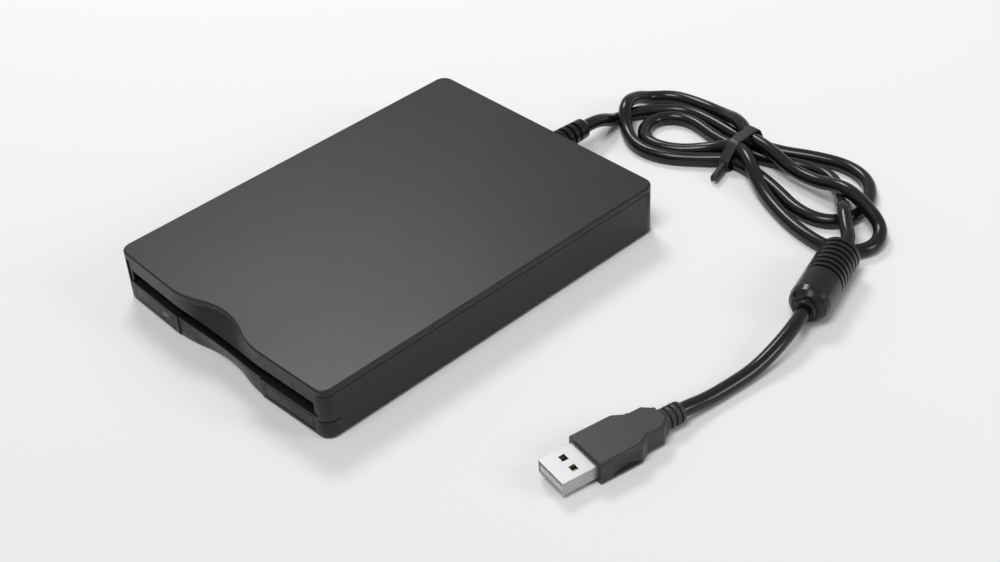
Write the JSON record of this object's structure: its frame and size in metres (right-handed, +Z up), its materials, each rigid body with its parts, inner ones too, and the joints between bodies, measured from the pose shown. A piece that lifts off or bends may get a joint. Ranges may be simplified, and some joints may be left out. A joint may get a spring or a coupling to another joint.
{
  "type": "external floppy disk drive",
  "caption": "Slim black external disk drive with a waved front, dust door and eject button; its tied cord carries a ferrite core and a plug.",
  "frame": {"origin": "on the surface the drive stands on, under the middle of its housing", "axes": "+Z up; -Y towards the front with the disk slot; +X to the right seen from the front; the cord leaves the rear at +Y"},
  "size_m": [0.1782, 0.2176, 0.019],
  "materials": {
    "housing_plastic": "fine matte moulded black plastic",
    "lens": "clear grey-green light pipe",
    "lamp": "green lamp",
    "foot_rubber": "soft dark rubber",
    "screw_steel": "black-coated steel",
    "sheet_steel": "zinc-plated sheet steel",
    "bright_steel": "turned or drawn steel",
    "rotor_steel": "pressed steel cup",
    "magnet": "dark sintered magnet",
    "bearing_metal": "sintered bronze",
    "coil_copper": "enamelled copper wire",
    "board": "green printed board",
    "chip_plastic": "black moulded packages",
    "carriage_plastic": "glass-filled black plastic",
    "head_ceramic": "polished ceramic",
    "white_plastic": "natural white plastic",
    "cable_film": "pale flat cable",
    "wire": "thin insulated wires",
    "cord_jacket": "glossy black jacket",
    "tie": "black coated tie",
    "ferrite_skin": "moulded black sleeve",
    "plug_plastic": "moulded dark grey grip",
    "plug_steel": "plated steel",
    "tongue_plastic": "pale plastic",
    "contact_gold": "gold-plated contacts"
  },
  "bodies": {
    "housing": {"top_cover": "housing_plastic", "bottom_case": "housing_plastic", "front_bezel": "housing_plastic", "led_lens": "lens", "activity_led": "lamp", "rubber_feet": "foot_rubber", "case_screws": "screw_steel", "mechanism_screws": "screw_steel", "mechanism_chassis": "sheet_steel", "shield_cover": "sheet_steel", "lever_pin": "bright_steel", "lever_spring": "bright_steel", "motor_board": "board", "motor_coils": "coil_copper", "spindle_bearing": "bearing_metal", "stepper_motor": "rotor_steel", "screw_bracket": "sheet_steel", "guide_rod": "bright_steel", "rod_clamps": "carriage_plastic", "track_sensor": "chip_plastic", "disk_switches": "chip_plastic", "control_board": "board", "control_chips": "chip_plastic", "usb_board": "board", "usb_board_parts": "chip_plastic", "flat_cable": "cable_film", "inner_wires": "wire", "cable_boot": "cord_jacket", "cord_lead": "cord_jacket", "cord_hank": "cord_jacket", "cord_tie": "tie", "cord_tail": "cord_jacket", "ferrite_core": "ferrite_skin", "plug_body": "plug_plastic", "plug_shell": "plug_steel", "plug_tongue": "tongue_plastic", "plug_contacts": "contact_gold"},
    "ejector": {"eject_button": "housing_plastic", "slider_plate": "sheet_steel", "slider_springs": "bright_steel"},
    "holder": {"disk_holder": "sheet_steel", "holder_pins": "bright_steel"},
    "lever": {"eject_lever": "white_plastic"},
    "door": {"dust_door": "housing_plastic", "door_spring": "bright_steel"},
    "spindle": {"spindle_shaft": "bright_steel", "spindle_rotor": "rotor_steel", "rotor_magnet": "magnet", "hub_table": "bright_steel", "drive_pin": "bright_steel"},
    "screw": {"lead_screw": "bright_steel"},
    "carriage": {"head_carriage": "carriage_plastic", "lower_head": "head_ceramic", "arm_pin": "bright_steel"},
    "arm": {"head_arm": "carriage_plastic", "upper_head": "head_ceramic", "arm_spring": "bright_steel"}
  },
  "joints": [
    {"name": "eject_slide", "type": "slide", "parent": "housing", "child": "ejector", "axis": [0, -1, 0], "range_m": [-0.0005, 0.0045], "deforming": ["slider_springs"]},
    {"name": "holder_drop", "type": "slide", "parent": "housing", "child": "holder", "axis": [0, 0, -1], "range_m": [-0.00023, 0.00201]},
    {"name": "arm_drop", "type": "hinge", "parent": "carriage", "child": "arm", "pos_m": [0, 0.047, 0.0132], "axis": [1, 0, 0], "range_deg": [-1.2, 9]},
    {"name": "eject_lever_turn", "type": "hinge", "parent": "housing", "child": "lever", "pos_m": [0.042, 0.035, 0.0136], "axis": [0, 0, -1], "range_deg": [0, 60], "stiffness_Nm_per_rad": 0.004, "springref_deg": -11.46, "deforming": ["lever_spring"]},
    {"name": "dust_door_swing", "type": "hinge", "parent": "housing", "child": "door", "pos_m": [0, -0.06675, 0.01325], "axis": [1, 0, 0], "range_deg": [0, 84], "stiffness_Nm_per_rad": 0.0002, "springref_deg": -17.19, "deforming": ["door_spring"]},
    {"name": "spindle_spin", "type": "hinge", "parent": "housing", "child": "spindle", "pos_m": [0, -0.017, 0.005], "axis": [0, 0, 1], "continuous": true},
    {"name": "head_travel", "type": "slide", "parent": "housing", "child": "carriage", "axis": [0, -1, 0], "range_m": [0, 0.0148]},
    {"name": "lead_screw_turn", "type": "hinge", "parent": "housing", "child": "screw", "pos_m": [-0.017, 0.045, 0.0079], "axis": [0, 1, 0], "range_deg": [0, 1425]}
  ],
  "couplings": [
    {"joint": "holder_drop", "follows": "eject_slide", "ratio": 0.44444},
    {"joint": "arm_drop", "follows": "eject_slide", "rad_per_m": 34.096},
    {"joint": "lead_screw_turn", "follows": "head_travel", "rad_per_m": 1675.5}
  ]
}
